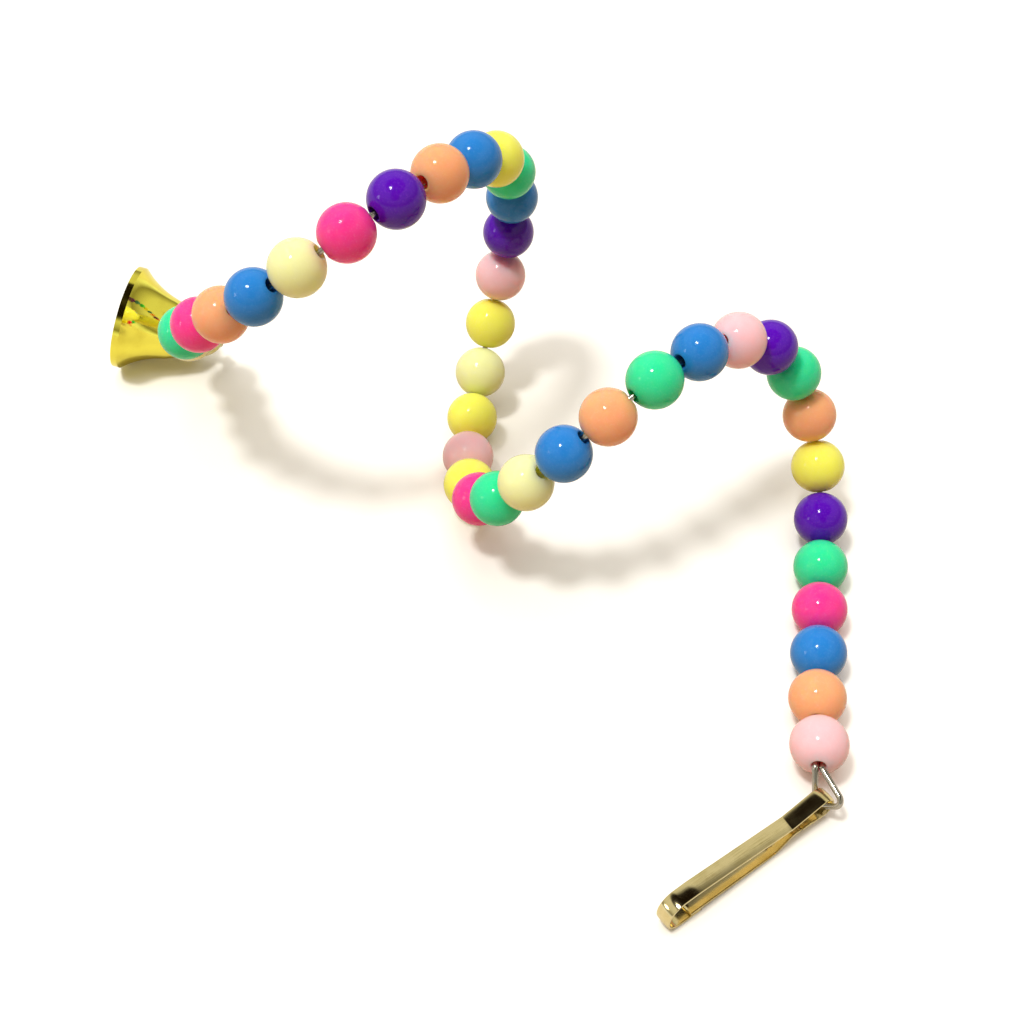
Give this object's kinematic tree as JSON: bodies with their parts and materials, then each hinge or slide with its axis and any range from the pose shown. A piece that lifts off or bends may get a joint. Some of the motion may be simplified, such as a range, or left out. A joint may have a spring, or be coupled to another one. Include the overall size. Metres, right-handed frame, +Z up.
{
  "type": "beaded spiral bird toy with bell",
  "caption": "Springy wire spiral strung with round coloured beads, with a brass bell hung from one end and a strip snap clip at the other, for hanging in a bird cage.",
  "frame": {"origin": "middle of the toy's box, on the surface it lies on", "axes": "+Z up; the toy lies as it was pictured, seen from -Y, with the bell towards -X and the clip towards +X"},
  "size_m": [0.1464, 0.1454, 0.0755],
  "materials": {
    "steel_wire": "drawn, bright",
    "bead_pink": "gloss, barrel polished",
    "bead_orange": "gloss, barrel polished",
    "bead_blue": "gloss, barrel polished",
    "bead_cream": "gloss, barrel polished",
    "bead_purple": "gloss, barrel polished",
    "bead_green": "gloss, barrel polished",
    "bead_yellow": "gloss, barrel polished",
    "bead_rose": "gloss, barrel polished",
    "bell_brass": "polished brass plating",
    "hanger_wire": "plated wire",
    "clip_brass": "bright plated strip"
  },
  "bodies": {
    "wire_spiral": {"wire_spiral": "steel_wire"},
    "bead_01": {"bead_01": "bead_cream"},
    "bead_02": {"bead_02": "bead_cream"},
    "bead_03": {"bead_03": "bead_cream"},
    "bead_04": {"bead_04": "bead_green"},
    "bead_05": {"bead_05": "bead_pink"},
    "bead_06": {"bead_06": "bead_orange"},
    "bead_07": {"bead_07": "bead_blue"},
    "bead_08": {"bead_08": "bead_cream"},
    "bead_09": {"bead_09": "bead_pink"},
    "bead_10": {"bead_10": "bead_purple"},
    "bead_11": {"bead_11": "bead_orange"},
    "bead_12": {"bead_12": "bead_blue"},
    "bead_13": {"bead_13": "bead_yellow"},
    "bead_14": {"bead_14": "bead_green"},
    "bead_15": {"bead_15": "bead_blue"},
    "bead_16": {"bead_16": "bead_purple"},
    "bead_17": {"bead_17": "bead_rose"},
    "bead_18": {"bead_18": "bead_yellow"},
    "bead_19": {"bead_19": "bead_cream"},
    "bead_20": {"bead_20": "bead_yellow"},
    "bead_21": {"bead_21": "bead_rose"},
    "bead_22": {"bead_22": "bead_yellow"},
    "bead_23": {"bead_23": "bead_pink"},
    "bead_24": {"bead_24": "bead_green"},
    "bead_25": {"bead_25": "bead_cream"},
    "bead_26": {"bead_26": "bead_blue"},
    "bead_27": {"bead_27": "bead_orange"},
    "bead_28": {"bead_28": "bead_green"},
    "bead_29": {"bead_29": "bead_blue"},
    "bead_30": {"bead_30": "bead_rose"},
    "bead_31": {"bead_31": "bead_purple"},
    "bead_32": {"bead_32": "bead_green"},
    "bead_33": {"bead_33": "bead_orange"},
    "bead_34": {"bead_34": "bead_yellow"},
    "bead_35": {"bead_35": "bead_purple"},
    "bead_36": {"bead_36": "bead_green"},
    "bead_37": {"bead_37": "bead_pink"},
    "bead_38": {"bead_38": "bead_blue"},
    "bead_39": {"bead_39": "bead_orange"},
    "bead_40": {"bead_40": "bead_rose"},
    "bell": {"bell_shell": "bell_brass", "bell_hanger": "hanger_wire"},
    "clapper": {"bell_clapper": "hanger_wire"},
    "clip": {"clip_body": "clip_brass"},
    "gate": {"clip_gate": "clip_brass"}
  },
  "joints": [
    {"name": "bell_swing", "type": "hinge", "parent": "wire_spiral", "child": "bell", "pos_m": [-0.05268, 0.05879, 0.00691], "axis": [0.1038, -0.8365, -0.5381], "range_deg": [-12, 205]},
    {"name": "clapper_swing", "type": "hinge", "parent": "bell", "child": "clapper", "pos_m": [-0.05904, 0.06019, 0.00807], "axis": [0.1736, 0.9848, 0], "range_deg": [0, 56]},
    {"name": "clip_swing", "type": "hinge", "parent": "wire_spiral", "child": "clip", "pos_m": [0.06125, -0.05038, 0.0036], "axis": [0.606, -0.7955, 0], "range_deg": [-60, 60]},
    {"name": "gate_press", "type": "hinge", "parent": "clip", "child": "gate", "pos_m": [0.05714, -0.05351, 0.00212], "axis": [-0.606, 0.7955, 0], "range_deg": [0, 10], "stiffness_Nm_per_rad": 0.02},
    {"name": "spin_bead_01", "type": "hinge", "parent": "wire_spiral", "child": "bead_01", "pos_m": [-0.05282, 0.05162, 0.01601], "axis": [0.1278, -0.6977, 0.7049], "continuous": true},
    {"name": "spin_bead_02", "type": "hinge", "parent": "wire_spiral", "child": "bead_02", "pos_m": [-0.05178, 0.04426, 0.02293], "axis": [0.1089, -0.8235, 0.5567], "continuous": true},
    {"name": "spin_bead_03", "type": "hinge", "parent": "wire_spiral", "child": "bead_03", "pos_m": [-0.05111, 0.0362, 0.02913], "axis": [-0.0459, -0.755, 0.6541], "continuous": true},
    {"name": "spin_bead_04", "type": "hinge", "parent": "wire_spiral", "child": "bead_04", "pos_m": [-0.04972, 0.02914, 0.03614], "axis": [0.3466, -0.6029, 0.7186], "continuous": true},
    {"name": "spin_bead_05", "type": "hinge", "parent": "wire_spiral", "child": "bead_05", "pos_m": [-0.0455, 0.02324, 0.04329], "axis": [0.4805, -0.5578, 0.6767], "continuous": true},
    {"name": "spin_bead_06", "type": "hinge", "parent": "wire_spiral", "child": "bead_06", "pos_m": [-0.03999, 0.01815, 0.05015], "axis": [0.592, -0.4629, 0.6597], "continuous": true},
    {"name": "spin_bead_07", "type": "hinge", "parent": "wire_spiral", "child": "bead_07", "pos_m": [-0.0332, 0.01498, 0.05689], "axis": [0.7327, -0.1553, 0.6626], "continuous": true},
    {"name": "spin_bead_08", "type": "hinge", "parent": "wire_spiral", "child": "bead_08", "pos_m": [-0.0253, 0.01499, 0.06315], "axis": [0.8104, 0.1589, 0.5639], "continuous": true},
    {"name": "spin_bead_09", "type": "hinge", "parent": "wire_spiral", "child": "bead_09", "pos_m": [-0.01697, 0.01804, 0.06794], "axis": [0.8153, 0.4403, 0.3761], "continuous": true},
    {"name": "spin_bead_10", "type": "hinge", "parent": "wire_spiral", "child": "bead_10", "pos_m": [-0.00897, 0.02363, 0.07048], "axis": [0.7468, 0.6537, 0.1225], "continuous": true},
    {"name": "spin_bead_11", "type": "hinge", "parent": "wire_spiral", "child": "bead_11", "pos_m": [-0.00199, 0.0309, 0.07028], "axis": [0.6134, 0.7724, -0.1649], "continuous": true},
    {"name": "spin_bead_12", "type": "hinge", "parent": "wire_spiral", "child": "bead_12", "pos_m": [0.00351, 0.03885, 0.0673], "axis": [0.4589, 0.7854, -0.4154], "continuous": true},
    {"name": "spin_bead_13", "type": "hinge", "parent": "wire_spiral", "child": "bead_13", "pos_m": [0.00736, 0.04646, 0.06188], "axis": [0.291, 0.7071, -0.6444], "continuous": true},
    {"name": "spin_bead_14", "type": "hinge", "parent": "wire_spiral", "child": "bead_14", "pos_m": [0.00952, 0.05285, 0.05435], "axis": [0.1272, 0.5456, -0.8283], "continuous": true},
    {"name": "spin_bead_15", "type": "hinge", "parent": "wire_spiral", "child": "bead_15", "pos_m": [0.01011, 0.05725, 0.04526], "axis": [-0.0157, 0.3175, -0.9481], "continuous": true},
    {"name": "spin_bead_16", "type": "hinge", "parent": "wire_spiral", "child": "bead_16", "pos_m": [0.00942, 0.05908, 0.03535], "axis": [-0.1228, 0.0465, -0.9913], "continuous": true},
    {"name": "spin_bead_17", "type": "hinge", "parent": "wire_spiral", "child": "bead_17", "pos_m": [0.00782, 0.05785, 0.02548], "axis": [-0.1918, -0.2864, -0.9387], "continuous": true},
    {"name": "spin_bead_18", "type": "hinge", "parent": "wire_spiral", "child": "bead_18", "pos_m": [0.00575, 0.05336, 0.01669], "axis": [-0.2151, -0.5899, -0.7783], "continuous": true},
    {"name": "spin_bead_19", "type": "hinge", "parent": "wire_spiral", "child": "bead_19", "pos_m": [0.0037, 0.04612, 0.01], "axis": [-0.1899, -0.8265, -0.5299], "continuous": true},
    {"name": "spin_bead_20", "type": "hinge", "parent": "wire_spiral", "child": "bead_20", "pos_m": [0.00213, 0.03694, 0.00614], "axis": [-0.1192, -0.9673, -0.224], "continuous": true},
    {"name": "spin_bead_21", "type": "hinge", "parent": "wire_spiral", "child": "bead_21", "pos_m": [0.00147, 0.02691, 0.0055], "axis": [-0.0117, -0.9948, 0.1016], "continuous": true},
    {"name": "spin_bead_22", "type": "hinge", "parent": "wire_spiral", "child": "bead_22", "pos_m": [0.00201, 0.01715, 0.00802], "axis": [0.1132, -0.9125, 0.3931], "continuous": true},
    {"name": "spin_bead_23", "type": "hinge", "parent": "wire_spiral", "child": "bead_23", "pos_m": [0.00396, 0.00872, 0.0132], "axis": [0.2638, -0.7356, 0.624], "continuous": true},
    {"name": "spin_bead_24", "type": "hinge", "parent": "wire_spiral", "child": "bead_24", "pos_m": [0.00749, 0.00247, 0.02029], "axis": [0.4215, -0.4859, 0.7656], "continuous": true},
    {"name": "spin_bead_25", "type": "hinge", "parent": "wire_spiral", "child": "bead_25", "pos_m": [0.01256, -0.00102, 0.02829], "axis": [0.5668, -0.1945, 0.8006], "continuous": true},
    {"name": "spin_bead_26", "type": "hinge", "parent": "wire_spiral", "child": "bead_26", "pos_m": [0.01896, -0.00149, 0.03606], "axis": [0.6817, 0.1027, 0.7244], "continuous": true},
    {"name": "spin_bead_27", "type": "hinge", "parent": "wire_spiral", "child": "bead_27", "pos_m": [0.02634, 0.00098, 0.04247], "axis": [0.7537, 0.3859, 0.532], "continuous": true},
    {"name": "spin_bead_28", "type": "hinge", "parent": "wire_spiral", "child": "bead_28", "pos_m": [0.03423, 0.00585, 0.04639], "axis": [0.7834, 0.574, 0.2384], "continuous": true},
    {"name": "spin_bead_29", "type": "hinge", "parent": "wire_spiral", "child": "bead_29", "pos_m": [0.04219, 0.012, 0.04707], "axis": [0.7657, 0.6345, -0.1058], "continuous": true},
    {"name": "spin_bead_30", "type": "hinge", "parent": "wire_spiral", "child": "bead_30", "pos_m": [0.04973, 0.01806, 0.04428], "axis": [0.7035, 0.557, -0.4414], "continuous": true},
    {"name": "spin_bead_31", "type": "hinge", "parent": "wire_spiral", "child": "bead_31", "pos_m": [0.05647, 0.02266, 0.03838], "axis": [0.6076, 0.355, -0.7105], "continuous": true},
    {"name": "spin_bead_32", "type": "hinge", "parent": "wire_spiral", "child": "bead_32", "pos_m": [0.06199, 0.0245, 0.03022], "axis": [0.4666, 0.0076, -0.8844], "continuous": true},
    {"name": "spin_bead_33", "type": "hinge", "parent": "wire_spiral", "child": "bead_33", "pos_m": [0.06589, 0.02266, 0.02117], "axis": [0.2878, -0.365, -0.8854], "continuous": true},
    {"name": "spin_bead_34", "type": "hinge", "parent": "wire_spiral", "child": "bead_34", "pos_m": [0.06792, 0.01724, 0.013], "axis": [0.1045, -0.6931, -0.7132], "continuous": true},
    {"name": "spin_bead_35", "type": "hinge", "parent": "wire_spiral", "child": "bead_35", "pos_m": [0.06824, 0.00899, 0.00731], "axis": [-0.0489, -0.9151, -0.4002], "continuous": true},
    {"name": "spin_bead_36", "type": "hinge", "parent": "wire_spiral", "child": "bead_36", "pos_m": [0.06731, -0.00077, 0.005], "axis": [-0.1436, -0.9896, -0.0048], "continuous": true},
    {"name": "spin_bead_37", "type": "hinge", "parent": "wire_spiral", "child": "bead_37", "pos_m": [0.06583, -0.01086, 0.00509], "axis": [-0.1457, -0.989, 0.0234], "continuous": true},
    {"name": "spin_bead_38", "type": "hinge", "parent": "wire_spiral", "child": "bead_38", "pos_m": [0.06432, -0.02094, 0.00548], "axis": [-0.1501, -0.9873, 0.0514], "continuous": true},
    {"name": "spin_bead_39", "type": "hinge", "parent": "wire_spiral", "child": "bead_39", "pos_m": [0.06275, -0.03099, 0.00614], "axis": [-0.1568, -0.9845, 0.0788], "continuous": true},
    {"name": "spin_bead_40", "type": "hinge", "parent": "wire_spiral", "child": "bead_40", "pos_m": [0.06166, -0.04111, 0.00706], "axis": [-0.1657, -0.9805, 0.1054], "continuous": true}
  ]
}
